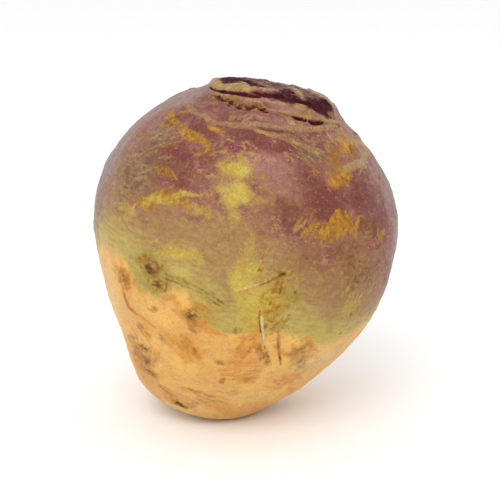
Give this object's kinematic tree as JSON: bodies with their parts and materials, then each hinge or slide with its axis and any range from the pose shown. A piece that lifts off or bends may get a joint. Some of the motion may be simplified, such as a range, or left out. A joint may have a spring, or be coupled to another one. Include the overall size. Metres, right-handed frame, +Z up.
{
  "type": "rutabaga",
  "caption": "Round purple-topped rutabaga root with a short leaf-scarred neck and a cream root end, leaning on a small flat spot.",
  "frame": {"origin": "middle of the small flat spot on the underside, on which the root stands", "axes": "+Z up; the root's own axis leans 15 degrees from +Z towards +X, crown uppermost; +Y is the far side of the view across the lean"},
  "size_m": [0.1232, 0.124, 0.1384],
  "materials": {
    "skin": "matte waxy vegetable skin: dull purple above, yellow-green in the middle, cream-orange below"
  },
  "bodies": {
    "root": {"rutabaga": "skin"}
  },
  "joints": []
}
